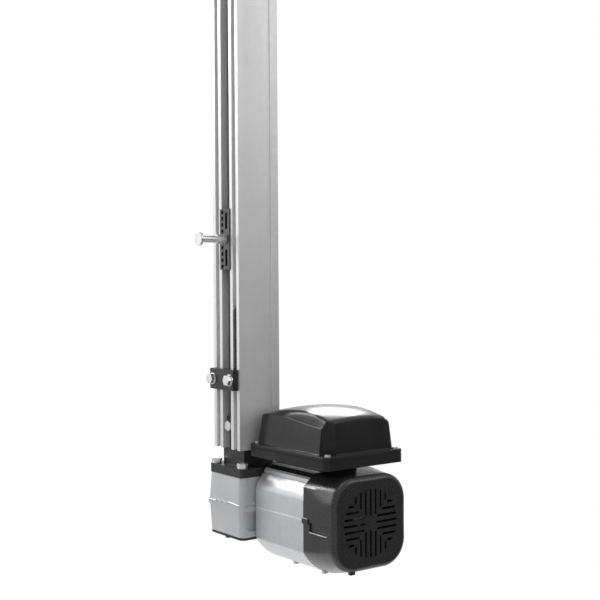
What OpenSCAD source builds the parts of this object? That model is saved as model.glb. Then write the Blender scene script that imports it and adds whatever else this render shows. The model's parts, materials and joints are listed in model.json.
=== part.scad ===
// Spindle-driven side opener for an up-and-over garage door.
// +Z points up the rail, -Y out of the rail's slot and +X along the motor, away from the gearbox.
// The origin is the middle of the four fixing holes, on the flat back of the rail.

/* [Rail] */
// Length of the aluminium rail
rail_length = 1200; // [900:10:1800]
// Width of the rail across its slotted face
rail_w = 63; // [62:0.5:70]
// Depth of the rail from its slotted face to its back
rail_d = 64; // [63:0.5:72]
// Extra width of the rear part of the rail on each side
rail_step = 1.5; // [0.5:0.25:3]
// Thickness of the side walls, measured at the front part
rail_wall = 6.2; // [5:0.1:7]
// Thickness of the back wall
rail_back_wall = 5; // [4:0.5:7]
// Width of the slot that the carriage runs in
slot_w = 20; // [16:0.5:20]
// Thickness of the two lips beside the slot
lip_t = 10.5; // [10:0.5:12]
// Width of the mouth of the bolt groove in each lip
groove_mouth = 8.6; // [8.6:0.1:10]
// Inner width of the bolt groove in each lip
groove_w = 14; // [13.6:0.2:16]
// Diameter of the four fixing holes in the back wall, tapped for M8
fixing_hole_d = 6.8; // [5:0.1:8.5]
// Distance across the rail between the fixing holes
fixing_across = 30; // [20:2:34]
// Distance of the fixing holes from the rail ends
fixing_end = 100; // [60:5:200]

/* [Spindle and carriage] */
// Outside diameter of the spindle
spindle_d = 22; // [18:1:26]
// Diameter of the spindle journals
journal_d = 16; // [12:1:17]
// Height of the carriage centre above the gearbox top, as drawn
carriage_rest = 319; // [230:1:700]
// Length of the carriage along the rail
carriage_len = 82; // [70:1:110]
// Diameter of the thick part of the drive pin
pin_shoulder_d = 12.4; // [11:0.2:15]
// Diameter of the part of the drive pin that carries the door arm
pin_d = 9.5; // [8:0.5:10.5]
// Length of the thick part of the drive pin
pin_shoulder_len = 13.5; // [8:0.5:25]
// Length of the part of the drive pin that carries the door arm
pin_len = 24.5; // [15:0.5:40]
// Diameter of the head of the drive pin
pin_head_d = 18; // [14:0.5:24]

/* [Lower stop] */
// Height of the stop block centre above the gearbox top
stop_rest = 130; // [120:1:170]
// Width of the stop block
stop_w = 57; // [55:0.5:62]
// Height of the stop block
stop_h = 28; // [22:1:34]
// Thickness of the stop block
stop_t = 8.5; // [6:0.5:14]

/* [Gearbox] */
// Width of the gearbox along the motor axis, at its top
gear_w = 78; // [76:1:90]
// Height of the gearbox
gear_h = 80; // [78:1:90]
// Widening of the gearbox from its ends to its parting line, on each side
gear_draft = 3.5; // [0.5:0.5:5]
// Teeth on the worm wheel
wheel_teeth = 30; // [28:1:30]
// Starts on the worm
worm_starts = 2; // [1:1:3]
// Thickness of the foot plate between gearbox and rail
plate_t = 12; // [10:1:16]
// Height of the rail end above the gearbox top
rail_gap = 35.5; // [30:0.5:45]

/* [Motor] */
// Radius of the round belly of the motor housing
belly_r = 71; // [70:0.5:74]
// Length of the aluminium motor housing
housing_len = 106; // [104:1:130]
// Length of the fan cover
fan_cover_len = 62; // [60:1:80]
// Width and height of the face of the fan cover
face_size = 118; // [112:1:120]
// Spacing of the air slots in the fan cover
vent_pitch = 8; // [7.5:0.1:9]
// Width of the air slots in the fan cover
vent_w = 3; // [2:0.1:4]

/* [Control box] */
// Length of the control box along the motor axis
box_len = 166; // [150:1:180]
// Width of the control box across the motor axis
box_w = 128; // [116:1:136]
// Height of the rim of the control box
rim_h = 17; // [15:0.5:22]
// Height of the domed lid above the rim
dome_h = 53; // [42:1:60]
// Wall thickness of the control box
box_wall = 3; // [2:0.5:4]

/* [Hidden] */
$fn = 72;
hull_fn = 32;
run_fit = 0.03;             // radial clearance of shafts in their bearings
slide_fit = 0.3;            // gap between sliding faces
axle_y = -30;               // spindle axis, middle of the rail cavity
z_foot = -rail_gap - rail_length / 2;   // height of the gearbox top
z_rail = z_foot + rail_gap;             // height of the lower rail end
z_top = z_rail + rail_length;           // height of the upper rail end
face_y = -rail_d;                       // slotted face of the rail
cavity_half = rail_w / 2 - rail_wall;
cavity_front = face_y + lip_t;
cavity_back = -rail_back_wall;
lip_mid = (slot_w / 2 + rail_w / 2) / 2;   // middle of each lip
mouth_t = 3;                // depth of the groove mouth
channel_t = 6;              // depth of the wide part of the groove
fixing_step = rail_length / 2 - fixing_end;   // height of the fixing holes above the middle

// bolts of the M8 size
m8_r = 4;
m8_af = 13;
m8_head = 5.3;
washer_r = 8;
washer_t = 1.6;

// foot, coupling and output shaft
plate_half = 39;            // half width of the foot plate
plate_front = -67.5;
plate_back = 42;
tower_h = 76;
tower_bore_r = 17;
tower_bore_h = 60;
output_r = 10;
output_top = 28;            // height of the output shaft end above the gearbox top
coupling_r = 15.5;
bearing_r = 15;
bearing_t = 12;
flange_bolt_x = 31.5;
flange_bolt_y = [-60.5, 33];
key_t = 4.5;                // thickness of the block that centres the foot in the slot
key_z = 66;                 // height of the bolt that holds it
key_depth = 5;              // depth of that bolt in the foot
rail_screw_r = 3;
rail_screw_len = 14;
head_plug = 30;             // depth of the rail head inside the rail
head_t = 8;                 // thickness of the rail head on top of the rail

// worm gear
gear_module = 2;
wheel_r = gear_module * wheel_teeth / 2;
worm_r = 14;
wheel_face = 16;
worm_y = axle_y + wheel_r + worm_r;
axis_z = -gear_h / 2;       // height of the worm and motor axis, from the gearbox top
worm_lead = PI * gear_module * worm_starts;
worm_half_len = 20;
tooth_t = 2.1;
thread_t = 1.5;
tooth_add = 1.7;            // height of tooth and thread above the pitch line
tooth_ded = 2.3;            // depth of tooth and thread below the pitch line

// gearbox case
gear_left = -gear_w / 2 - 2;
gear_right = gear_w / 2;
gear_front = -67;
gear_back = worm_y + 28;
gear_corner = 8;
case_split = -gear_h / 2 + 1.5;
case_screw_len = 45;
lug_y = [-59, 24];         // casting lugs on the left side, at the parting line
lug_len = 8;
shaft_bearing_r = 17.5;
shaft_bearing_t = 11;
worm_bearing_r = 15;
worm_shaft_r = 10;
worm_journal_r = 7.5;
base_t = 3.5;               // thickness of the black base plate

// motor
motor_y = worm_y;
belly_y = motor_y + 1;
belly_z = axis_z - 4;
housing_x = gear_right + 3;
cover_x = housing_x + housing_len;
face_x = cover_x + fan_cover_len;
flat_half = 61.5;           // half width across the flat sides of the housing
top_z = 18.5;               // flat top of the housing
stator_r = 52;
stator_x = 63;
stator_len = 66;
air_gap = 0.6;
rotor_r = 29;
rotor_len = 60;
winding_len = 11;
shield_t = 6;
shield_r = 57;
motor_screw_len = 20;
fan_r = 46;
fan_x = cover_x + 12;
fan_len = 24;
cover_wall = 3;
face_z = axis_z;
face_y0 = motor_y - 1.5;
face_corner = 34;
shaft_end = fan_x + fan_len;

// control box
box_x0 = rail_w / 2 + rail_step + 0.5;
box_x1 = box_x0 + box_len;
box_y0 = -51;
box_y1 = box_y0 + box_w;
box_z0 = top_z + 10.5;
rim_z = box_z0 + rim_h;
box_corner = 7;
dome_inset = 9;
screw_inset = [7, 9.5];
seal_t = 1;
floor_t = 2.5;
wire_x = housing_x + 34;    // wire passage between motor and box
box_screw_len = 22;
board_up = 6.5;               // height of the board above the box floor
board_t = 1.6;
board_z = box_z0 + floor_t + board_up;
board_top = board_z + board_t;
inlet_r = 4.4;              // hole for the cable grommet in the rear wall
inlet_z = 5.7;
cable_r = 3;
base_h = rim_h - 6;
box_mid_y = (box_y0 + box_y1) / 2;
board_low = [box_x0 + 22, box_y0 + 18];
board_high = [box_x1 - 22, box_y1 - 26];

// ---------- shared shapes ----------

module from_foot(z = 0) {
    translate([0, 0, z_foot + z]) children();
}

module on_spindle(z = 0) {
    translate([0, axle_y, z_foot + z]) children();
}

// turns +Z into +X and moves to the worm and motor axis
module on_motor(x = 0) {
    translate([x, motor_y, z_foot + axis_z]) rotate([0, 90, 0]) children();
}

// turns +Z into -Y
module facing_front() {
    rotate([90, 0, 0]) children();
}

module ring(outer, inner, h) {
    difference() {
        cylinder(r = outer, h = h);
        translate([0, 0, -1]) cylinder(r = inner, h = h + 2);
    }
}

// box between two corners
module block(low, high) {
    translate(low) cube(high - low);
}

// hexagon bolt: head above z = 0, shank below it
module hex_bolt(shank, r = m8_r, af = m8_af, head = m8_head) {
    cylinder(r = af / sqrt(3), h = head, $fn = 6);
    translate([0, 0, -shank]) cylinder(r = r, h = shank + 0.5);
}

// socket screw: head above z = 0, shank below it
module socket_screw(shank, r, head_r, head, socket_af) {
    difference() {
        cylinder(r = head_r, h = head);
        translate([0, 0, head * 0.4]) cylinder(r = socket_af / sqrt(3), h = head, $fn = 6);
    }
    translate([0, 0, -shank]) cylinder(r = r, h = shank + 0.2);
}

// upright slab with rounded corners
module slab(low, high, r, facets = $fn) {
    translate([low.x + r, low.y + r, low.z])
        linear_extrude(high.z - low.z)
            rounded(high.x - low.x - 2 * r, high.y - low.y - 2 * r, r, facets);
}

module rounded(w, d, r, facets = $fn) {
    union() {
        translate([-r, 0]) square([w + 2 * r, d]);
        translate([0, -r]) square([w, d + 2 * r]);
        for (x = [0, w], y = [0, d]) translate([x, y]) circle(r = r, $fn = facets);
    }
}

// ---------- rail ----------

module rail_outline() {
    front_len = 13.5;
    slope_len = 9.5;
    half = rail_w / 2;
    wide = half + rail_step;
    polygon([[-half, face_y], [half, face_y], [half, face_y + front_len],
             [wide, face_y + front_len + slope_len], [wide, 0],
             [-wide, 0], [-wide, face_y + front_len + slope_len], [-half, face_y + front_len]]);
}

module rail_section() {
    trim_w = 2.8;
    trim_deep = 1;
    trim_y = -15.5;
    difference() {
        rail_outline();
        translate([-cavity_half, cavity_front]) square([2 * cavity_half, cavity_back - cavity_front]);
        translate([-slot_w / 2, face_y - 1]) square([slot_w, lip_t + 2]);
        for (side = [-1, 1]) {
            translate([side * lip_mid - groove_mouth / 2, face_y - 1]) square([groove_mouth, mouth_t + 2]);
            translate([side * lip_mid - groove_w / 2, face_y + mouth_t]) square([groove_w, channel_t]);
            translate([side * (rail_w / 2 + rail_step) - trim_deep, trim_y]) square([2 * trim_deep, trim_w]);
        }
    }
}

module rail() {
    color("lightgray") difference() {
        translate([0, 0, z_rail]) linear_extrude(rail_length) rail_section();
        for (x = [-1, 1], z = [-1, 1])
            translate([x * fixing_across / 2, 1, z * fixing_step]) facing_front()
                cylinder(d = fixing_hole_d, h = rail_back_wall + 2);
        at_rail_screws() countersunk(0.02);
    }
}

// countersunk screw along +Z with its flat head at z = 0
module countersunk(grow) {
    translate([0, 0, -grow])
        cylinder(r1 = rail_screw_r * 2 + grow, r2 = rail_screw_r, h = rail_screw_r + grow);
    cylinder(r = rail_screw_r, h = rail_screw_len);
}

module at_rail_screws() {
    for (side = [-1, 1], z = [z_foot + 55, z_top - 12])
        translate([side * 18, 0, z]) facing_front() children();
}

module rail_screws() {
    color("silver") at_rail_screws() countersunk(0);
}

module rail_head() {
    fit = 0.1;
    plug_half = cavity_half - fit;
    cap_half = rail_w / 2 + rail_step;
    color("dimgray") difference() {
        union() {
            block([-plug_half, cavity_front + fit, z_top - head_plug], [plug_half, cavity_back - fit, z_top]);
            slab([-cap_half, face_y, z_top], [cap_half, 0, z_top + head_t], 4);
        }
        translate([0, axle_y, z_top - head_plug - 1]) cylinder(r = bearing_r, h = bearing_t + 1);
        translate([0, axle_y, z_top - head_plug - 1]) cylinder(d = journal_d + 2, h = head_plug - 4);
        at_rail_screws() cylinder(r = rail_screw_r, h = rail_screw_len);
    }
}

module head_bush() {
    color("darkgoldenrod") translate([0, axle_y, z_top - head_plug])
        ring(bearing_r, journal_d / 2 + run_fit, bearing_t - 1);
}

// ---------- foot between gearbox and rail ----------

module foot() {
    fit = 0.1;
    tower_half = cavity_half - fit;
    color("#1c1c1e") difference() {
        union() {
            from_foot() slab([-plate_half, plate_front, 0], [plate_half, plate_back, plate_t], 4);
            from_foot() block([-tower_half, cavity_front + fit, 0], [tower_half, cavity_back - fit, tower_h]);
        }
        on_spindle(-1) cylinder(r = tower_bore_r, h = tower_bore_h + 1);
        on_spindle(tower_bore_h - 1) cylinder(r = bearing_r, h = tower_h);
        for (x = [-1, 1], y = flange_bolt_y)
            translate([x * flange_bolt_x, y, z_foot - 1]) cylinder(r = m8_r, h = plate_t + 2);
        translate([0, cavity_front + key_depth, z_foot + key_z]) facing_front()
            cylinder(r = m8_r, h = rail_d);
        at_rail_screws() cylinder(r = rail_screw_r, h = rail_screw_len);
    }
}

// block that centres the foot in the slot of the rail
module slot_key() {
    half = slot_w / 2 - 0.05;
    color("#28282a") difference() {
        from_foot() block([-half, cavity_front - key_t, key_z - 6.4], [half, cavity_front + 0.1, key_z + 12]);
        translate([0, cavity_front + 1, z_foot + key_z]) facing_front() cylinder(r = m8_r, h = key_t + 2);
    }
}

module key_bolt() {
    color("silver") translate([0, cavity_front - key_t, z_foot + key_z]) facing_front()
        rotate([0, 0, 30]) hex_bolt(key_t + key_depth);
}

module foot_bearing() {
    color("slategray") on_spindle(tower_bore_h + 2) ring(bearing_r, journal_d / 2 + run_fit, bearing_t);
}

module flange_bolts() {
    color("silver") for (x = [-1, 1], y = flange_bolt_y)
        translate([x * flange_bolt_x, y, z_foot + plate_t + washer_t]) hex_bolt(plate_t + washer_t + 14);
}

module flange_washers() {
    color("silver") for (x = [-1, 1], y = flange_bolt_y)
        translate([x * flange_bolt_x, y, z_foot + plate_t]) ring(6.8, m8_r, washer_t);
}

// end-of-travel sensor, lying in the right-hand bolt groove just above the stop
module limit_sensor() {
    sensor_r = groove_mouth / 2;
    sensor_len = 78;
    color("#161616") translate([lip_mid, face_y + 2.5, z_foot + stop_rest + stop_h / 2 + 2]) {
        cylinder(r = sensor_r, h = sensor_len);
        translate([0, 0, sensor_len]) sphere(r = sensor_r);
    }
}

// ---------- lower stop ----------

module stop_block() {
    low = z_foot + stop_rest - stop_h / 2;
    front = face_y - 0.1 - stop_t;
    color("#202022") difference() {
        block([-stop_w / 2, front, low], [stop_w / 2, face_y - 0.1, low + stop_h]);
        for (side = [-1, 1])
            translate([side * lip_mid, face_y + 1, z_foot + stop_rest]) facing_front()
                cylinder(r = m8_r, h = stop_t + 3);
    }
}

module at_stop_bolts(y) {
    for (side = [-1, 1]) translate([side * lip_mid, y, z_foot + stop_rest]) facing_front() children();
}

module stop_washers() {
    color("silver") at_stop_bolts(face_y - 0.1 - stop_t) ring(washer_r, m8_r, washer_t);
}

module stop_bolts() {
    shank = stop_t + washer_t + mouth_t + 5.1;
    color("silver") at_stop_bolts(face_y - 0.1 - stop_t - washer_t) hex_bolt(shank);
}

module stop_nuts() {
    nut_w = groove_w - 1;
    nut_t = channel_t - 1;
    color("gray") at_stop_bolts(face_y + mouth_t + 0.5 + nut_t) difference() {
        translate([-nut_w / 2, -nut_w / 2, 0]) cube([nut_w, nut_w, nut_t]);
        translate([0, 0, -1]) cylinder(r = m8_r, h = nut_t + 2);
    }
}

// ---------- spindle and output shaft ----------

module spindle() {
    thread_low = tower_h + 4;
    thread_high = rail_gap + rail_length - head_plug - 4;
    color("#55575a") {
        on_spindle(thread_low) cylinder(d = spindle_d, h = thread_high - thread_low);
        on_spindle(output_top + 4) cylinder(d = journal_d, h = thread_high - output_top + 12);
    }
}

module coupling() {
    color("gray") difference() {
        on_spindle(6) cylinder(r = coupling_r, h = 50);
        on_spindle(5) cylinder(r = output_r, h = output_top - 3);
        on_spindle(output_top) cylinder(d = journal_d, h = 40);
        for (z = [16, 44]) on_spindle(z) facing_front() cylinder(r = 3, h = coupling_r + 1);
    }
}

module coupling_screws() {
    color("#303030") for (z = [16, 44], r = [z < output_top ? output_r : journal_d / 2])
        on_spindle(z) facing_front() translate([0, 0, r]) cylinder(r = 3, h = coupling_r - r);
}

module output_shaft() {
    color("silver") difference() {
        on_spindle(axis_z - 29) cylinder(r = output_r, h = output_top - axis_z + 29);
        on_spindle(axis_z - 8) block([-3, -output_r - 1, 0], [3, -output_r + 3, 16]);
    }
}

module wheel_key() {
    color("gray") on_spindle(axis_z - 8) block([-3, -output_r - 2, 0], [3, -output_r + 3, 16]);
}

module wheel_teeth_ring() {
    lead_angle = atan(worm_lead / (2 * PI * worm_r));
    twist = wheel_face * tan(lead_angle) / wheel_r * 180 / PI;
    root = wheel_r - tooth_ded;
    tip = wheel_r + tooth_add;
    translate([0, 0, -wheel_face / 2]) rotate([0, 0, -twist / 2])
        linear_extrude(wheel_face, twist = -twist, slices = 4, $fn = 6) for (k = [0:wheel_teeth - 1])
            rotate([0, 0, 90 + k * 360 / wheel_teeth])
                polygon([[root - 1, -tooth_t * 0.75], [root, -tooth_t * 0.7], [tip, -tooth_t * 0.32],
                         [tip, tooth_t * 0.32], [root, tooth_t * 0.7], [root - 1, tooth_t * 0.75]]);
}

module worm_wheel() {
    hub_r = 16;
    hub_h = 34;
    color("#b08d3c") on_spindle(axis_z) difference() {
        union() {
            wheel_teeth_ring();
            translate([0, 0, -wheel_face / 2]) cylinder(r = wheel_r - tooth_ded, h = wheel_face);
            translate([0, 0, -hub_h / 2]) cylinder(r = hub_r, h = hub_h);
        }
        translate([0, 0, -hub_h]) cylinder(r = output_r, h = 2 * hub_h);
        block([-3, -output_r - 2, -hub_h], [3, 0, hub_h]);
    }
}

module upper_bearing() {
    color("slategray") on_spindle(-7 - shaft_bearing_t)
        ring(shaft_bearing_r, output_r + run_fit, shaft_bearing_t);
}

module lower_bearing() {
    color("slategray") on_spindle(axis_z - 30) ring(shaft_bearing_r, output_r + run_fit, shaft_bearing_t);
}

module shaft_seal() {
    color("#141414") on_spindle(-7) ring(shaft_bearing_r, output_r + run_fit, 6);
}

// ---------- carriage ----------

module at_carriage() {
    from_foot(carriage_rest) children();
}

nut_r = 17;
nut_flange_r = 22.5;
nut_flange_t = 5;
carriage_half = carriage_len / 2;
nut_low = -carriage_half + 11;
carriage_plate_half = slot_w / 2 + 1.6;
carriage_face = face_y - 1.8;

// the openings in the moulded front face
module carriage_pockets() {
    cell = 5;
    pitch = 8.6;
    deep = 5;
    panel_w = 5.5;
    panel_len = 22;
    for (end = [-1, 1]) {
        for (k = [0:3])
            block([-8, carriage_face - 1, end * (11 + k * pitch) - cell / 2],
                  [-8 + cell, carriage_face + deep, end * (11 + k * pitch) + cell / 2]);
        block([1.5, carriage_face - 1, end * 25 - panel_len / 2],
              [1.5 + panel_w, carriage_face + deep * 0.5, end * 25 + panel_len / 2]);
    }
}

module carriage() {
    guide_half = cavity_half - slide_fit;
    neck_half = slot_w / 2 - slide_fit - 0.1;
    color("#222224") at_carriage() difference() {
        union() {
            block([-carriage_plate_half, carriage_face, -carriage_half],
                  [carriage_plate_half, face_y - slide_fit, carriage_half]);
            block([-neck_half, face_y - slide_fit - 0.1, -carriage_half],
                  [neck_half, cavity_front + 2, carriage_half]);
            block([-guide_half, cavity_front + slide_fit, -carriage_half],
                  [guide_half, cavity_back - slide_fit, carriage_half]);
        }
        translate([0, axle_y, -carriage_half - 1]) cylinder(r = spindle_d / 2 + 1, h = carriage_len + 2);
        translate([0, axle_y, nut_low]) cylinder(r = nut_r, h = carriage_len);
        translate([0, axle_y, carriage_half - nut_flange_t]) cylinder(r = nut_flange_r, h = carriage_len);
        at_nut_screws() translate([0, 0, -14]) cylinder(r = 1.5, h = 15);
        carriage_pockets();
        translate([0, carriage_face - 1, 0]) rotate([-90, 0, 0]) cylinder(d = pin_shoulder_d, h = 17.2);
        block([-8.1, cavity_back - 4, -7], [8.1, cavity_back, 7]);
    }
}

module at_nut_screws() {
    for (side = [-1, 1]) translate([side * 19.8, axle_y, carriage_half]) children();
}

module drive_nut() {
    color("#c9b458") at_carriage() difference() {
        union() {
            translate([0, axle_y, nut_low]) cylinder(r = nut_r, h = carriage_half - nut_low);
            translate([0, axle_y, carriage_half - nut_flange_t]) cylinder(r = nut_flange_r, h = nut_flange_t);
        }
        translate([0, axle_y, -carriage_half]) cylinder(r = spindle_d / 2 + run_fit, h = carriage_len + 1);
        at_nut_screws() translate([0, 0, -14]) cylinder(r = 1.5, h = 15);
    }
}

module nut_screws() {
    color("silver") at_carriage() at_nut_screws() socket_screw(12, 1.5, 2.6, 2.4, 2.5);
}

module drive_pin() {
    back = carriage_face + 16;
    front = carriage_face - pin_shoulder_len;
    color("silver") at_carriage() translate([0, back, 0]) facing_front() {
        cylinder(d = pin_shoulder_d, h = back - front);
        cylinder(d = pin_d, h = back - front + pin_len + 1);
        translate([0, 0, back - front + pin_len]) cylinder(d = pin_head_d, h = 3.8);
    }
}

module magnet() {
    color("#3a3a3c") at_carriage() block([-8, cavity_back - 3.9, -6.9], [8, cavity_back - 0.5, 6.9]);
}

// ---------- gearbox ----------

module gear_slice(z, grow) {
    from_foot() slab([gear_left - grow, gear_front - grow * 0.3, z - 0.05],
                     [gear_right, gear_back + grow, z + 0.05], gear_corner, hull_fn);
}

module gear_half_shape(end_z, split_z) {
    inward = end_z > split_z ? -0.05 : 0.05;
    hull() {
        gear_slice(end_z + inward, 0);
        gear_slice(split_z - inward, gear_draft);
    }
}

module gear_cavity() {
    on_spindle(axis_z - 18) cylinder(r = wheel_r + tooth_add + 1.5, h = 36);
    on_spindle(axis_z - 30) cylinder(r = shaft_bearing_r, h = -axis_z + 31);
    on_motor(-worm_half_len - 4) cylinder(r = worm_r + tooth_add + 1.3, h = 2 * worm_half_len + 8);
    on_motor(-worm_half_len - 15) cylinder(r = worm_bearing_r, h = 20);
    on_motor(worm_half_len) cylinder(r = shaft_bearing_r, h = 40);
}

module at_case_screws() {
    for (x = [gear_left + 8, gear_right - 8], y = [gear_front + 8, gear_back - 6])
        translate([x, y, z_foot - gear_h + 6]) children();
}

module gearbox_upper() {
    color("#c4c6c8") difference() {
        union() {
            gear_half_shape(0, case_split);
            translate([gear_right, -48.5, z_foot - 34.5]) rotate([0, 90, 0]) cylinder(r = 2.5, h = 1.8);
        }
        gear_cavity();
        at_case_screws() cylinder(r = 2.5, h = case_screw_len);
        at_motor_front() cylinder(r = 2.5, h = motor_screw_len);
        for (x = [-1, 1], y = flange_bolt_y)
            translate([x * flange_bolt_x, y, z_foot - 15]) cylinder(r = m8_r, h = 20);
    }
}

module gearbox_lower() {
    panel = [[-63.5, -69], [-45.5, -45]];
    color("#c4c6c8") difference() {
        union() {
            gear_half_shape(-gear_h, case_split);
            for (y = lug_y) from_foot()
                block([gear_left - gear_draft - 3.5, y - 4, case_split - lug_len - 0.5],
                      [gear_left + 2, y + 4, case_split - 0.5]);
        }
        gear_cavity();
        at_case_screws() {
            cylinder(r = 2.5, h = case_screw_len);
            translate([0, 0, -7]) cylinder(r = 4.5, h = 7);
        }
        at_motor_front() cylinder(r = 2.5, h = motor_screw_len);
        from_foot()
            block([gear_right - 0.8, panel[0].x, panel[0].y], [gear_right + 5, panel[1].x, panel[1].y]);
        at_base_screws() translate([0, 0, -1]) cylinder(r = 2, h = 9);
    }
}

module at_base_screws() {
    for (p = [[-1, gear_front + 4.5], [-1, gear_back - 6], [gear_left + 4.5, 12], [gear_right - 6, 12]])
        translate([p.x, p.y, z_foot - gear_h]) children();
}

module gearbox_base() {
    color("#1a1a1c") difference() {
        from_foot()
            slab([gear_left, gear_front, -gear_h - base_t], [gear_right, gear_back, -gear_h], gear_corner);
        at_base_screws() translate([0, 0, -base_t - 1]) cylinder(r = 2, h = base_t + 2);
    }
}

module base_screws() {
    color("gray") at_base_screws() translate([0, 0, -base_t]) mirror([0, 0, 1])
        socket_screw(base_t + 7.5, 2, 3.6, 2.4, 2.5);
}

module case_screws() {
    color("silver") at_case_screws() mirror([0, 0, 1]) socket_screw(case_screw_len - 0.5, 2.5, 4.25, 5, 4);
}

// ---------- worm, rotor and fan ----------

// one start of the worm thread: a strip swept round the shaft
module worm_thread(start) {
    steps = 24;
    turns = 2 * worm_half_len / worm_lead;
    rings = ceil(turns * steps);
    root = worm_r - tooth_ded - 0.4;
    tip = worm_r + tooth_add;
    strip = [[root, -thread_t * 0.75], [tip, -thread_t * 0.35],
             [tip, thread_t * 0.35], [root, thread_t * 0.75]];
    points = [for (k = [0:rings], p = strip)
        let (a = 360 * k / steps + start, x = -worm_half_len + worm_lead * k / steps + p.y)
            [x, p.x * cos(a), p.x * sin(a)]];
    sides = [for (k = [0:rings - 1], j = [0:3])
        let (a = 4 * k + j, b = 4 * k + (j + 1) % 4) [a, b, b + 4, a + 4]];
    polyhedron(points, concat([[3, 2, 1, 0]], sides, [[for (j = [0:3]) 4 * rings + j]]), convexity = 8);
}

module worm_shaft() {
    // the thread is turned so that a gap of the worm faces the wheel tooth at its middle
    phase = 180 + 180 / worm_starts - 360 * (worm_half_len / worm_lead);
    color("#9a9ca0") {
        on_motor(-worm_half_len - 2) cylinder(r = worm_r - tooth_ded, h = 2 * worm_half_len + 4);
        on_motor(-worm_half_len - 15) cylinder(r = worm_journal_r, h = 20);
        on_motor(0) cylinder(r = worm_shaft_r, h = cover_x + 2);
        on_motor(0) cylinder(r = worm_journal_r, h = shaft_end);
        translate([0, motor_y, z_foot + axis_z])
            for (k = [0:worm_starts - 1]) worm_thread(phase + k * 360 / worm_starts);
    }
}

module worm_end_bearing() {
    color("slategray") on_motor(-worm_half_len - 15) ring(worm_bearing_r, worm_journal_r + run_fit, 9);
}

module worm_bearing() {
    color("slategray") on_motor(gear_right - 14) ring(shaft_bearing_r, worm_shaft_r + run_fit, 12);
}

module rotor_core() {
    color("#8b8d90") on_motor(stator_x + (stator_len - rotor_len) / 2) ring(rotor_r, worm_shaft_r, rotor_len);
}

module cooling_fan() {
    blades = 9;
    hub_r = 15;
    color("#2a2a2c") on_motor(fan_x) {
        ring(hub_r, worm_journal_r, fan_len - 2);
        ring(fan_r, worm_journal_r, 2.5);
        for (k = [0:blades - 1]) rotate([0, 0, k * 360 / blades])
            translate([hub_r - 1, -1, 0]) cube([fan_r - hub_r - 1, 2, fan_len - 4]);
    }
}

// ---------- motor ----------

// half outline of the top edge: flat side, chamfer, groove, rib and channel, from the front flat inwards
function edge_points(s) = [for (p = [[0, -15.5], [3.5, -7], [11.5, 4.5], [14, 4], [14.8, 9.5], [17, 12],
                                     [19, 11], [20, 9.5], [26.5, 15], [28, 18.5]])
                           [belly_y + s * (p.x - flat_half), p.y]];

module housing_section() {
    low = belly_z - belly_r;
    front = edge_points(1);
    rear = edge_points(-1);
    intersection() {
        polygon(concat([[belly_y - flat_half, low]], front,
                       [for (k = [len(rear) - 1:-1:0]) rear[k]], [[belly_y + flat_half, low]]));
        union() {
            translate([belly_y, belly_z]) circle(r = belly_r, $fn = 144);
            translate([belly_y - flat_half, belly_z]) square([2 * flat_half, belly_r]);
        }
    }
}

// extrudes a Y-Z outline along X
module along_x(x, length) {
    translate([x, 0, z_foot]) rotate([90, 0, 90]) linear_extrude(length) children();
}

module motor_housing() {
    end_wall = 8;
    color("#cfd1d3") difference() {
        union() {
            along_x(housing_x, housing_len) housing_section();
            on_motor(gear_right) cylinder(r = 30, h = 4);
        }
        on_motor(housing_x + end_wall) cylinder(r = stator_r, h = housing_len);
        on_motor(cover_x - shield_t) cylinder(r = shield_r, h = shield_t + 1);
        on_motor(gear_right - 1) cylinder(r = worm_shaft_r + 4, h = 30);
        at_motor_front() cylinder(r = 2.5, h = motor_screw_len + 1);
        at_motor_rear() cylinder(r = 2.5, h = motor_screw_len + 1);
        translate([wire_x, motor_y, z_foot]) cylinder(r = 8, h = top_z + 1);
        at_box_fixings() cylinder(r = 2, h = box_screw_len);
    }
}

// M5 screws: four from inside the motor into the gearbox, four through the end shield
module at_motor_front() {
    for (a = [45:90:315]) on_motor(housing_x + 8 - motor_screw_len) rotate([0, 0, a])
        translate([24, 0, 0]) children();
}

module at_motor_rear() {
    for (a = [45:90:315]) on_motor(cover_x - motor_screw_len) rotate([0, 0, a])
        translate([shield_r - 2.4, 0, 0]) children();
}

module motor_screw() {
    translate([0, 0, motor_screw_len]) socket_screw(motor_screw_len - 0.5, 2.5, 4.25, 4, 4);
}

module motor_screws() {
    color("silver") {
        at_motor_front() motor_screw();
        at_motor_rear() motor_screw();
    }
}

module stator_core() {
    color("#6d6f73") on_motor(stator_x) ring(stator_r, rotor_r + air_gap, stator_len);
}

module windings() {
    color("#b4662a") for (x = [stator_x - winding_len, stator_x + stator_len])
        on_motor(x) ring(stator_r - 3, rotor_r + 5, winding_len);
}

module end_shield() {
    color("#b9bbbd") difference() {
        on_motor(cover_x - shield_t) cylinder(r = shield_r, h = shield_t);
        on_motor(cover_x - shield_t - 1) cylinder(r = worm_bearing_r + 3, h = shield_t + 2);
        at_motor_rear() cylinder(r = 2.5, h = motor_screw_len + 1);
    }
}

module motor_bearing() {
    color("slategray") on_motor(cover_x - shield_t)
        ring(worm_bearing_r + 3, worm_shaft_r + run_fit, shield_t);
}

// slice of the fan cover where it meets the housing: round belly, flat sides, stepped top
module cover_root(shrink, x) {
    half = flat_half - shrink;
    r = belly_r - shrink;
    steps = 14;
    start = acos(half / r);
    arc = [for (k = [0:steps]) let (a = 180 + start + k * (180 - 2 * start) / steps)
           [belly_y + r * cos(a), belly_z + r * sin(a)]];
    edge = [[0, 28.5], [11.5, 48.5], [16.5, 55.5], [28, 62.5]];
    right = [for (p = edge) [belly_y + half - p.x, belly_z + p.y - shrink]];
    left = [for (k = [3:-1:0]) [belly_y - half + edge[k].x, belly_z + edge[k].y - shrink]];
    along_x(x, 1) polygon(concat(arc, right, left));
}

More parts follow.
